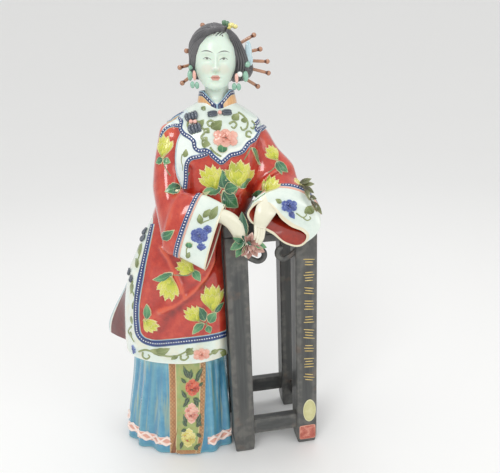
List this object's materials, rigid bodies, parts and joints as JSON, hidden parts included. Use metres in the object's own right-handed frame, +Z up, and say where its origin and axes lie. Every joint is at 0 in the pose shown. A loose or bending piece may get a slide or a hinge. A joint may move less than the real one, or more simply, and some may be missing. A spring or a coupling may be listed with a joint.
{
  "type": "glazed ceramic figure of a lady leaning on a square stand",
  "caption": "Glazed ceramic figure of a lady in a red flowered robe and blue skirt, leaning with both arms on a tall dark square stand.",
  "frame": {"origin": "middle of the footprint's bounding box, on the surface that the skirt and the stand's feet rest on", "axes": "+Z up, +X along the stand's front from the lady to the stand, +Y from the front to the back"},
  "size_m": [0.1528, 0.0942, 0.2982],
  "materials": {
    "figure_glaze": "glossy red, white, blue, green and yellow glazes",
    "stand_glaze": "dark matte glaze in the manner of old wood"
  },
  "bodies": {
    "root": {"lady": "figure_glaze", "stand": "stand_glaze"}
  },
  "joints": []
}
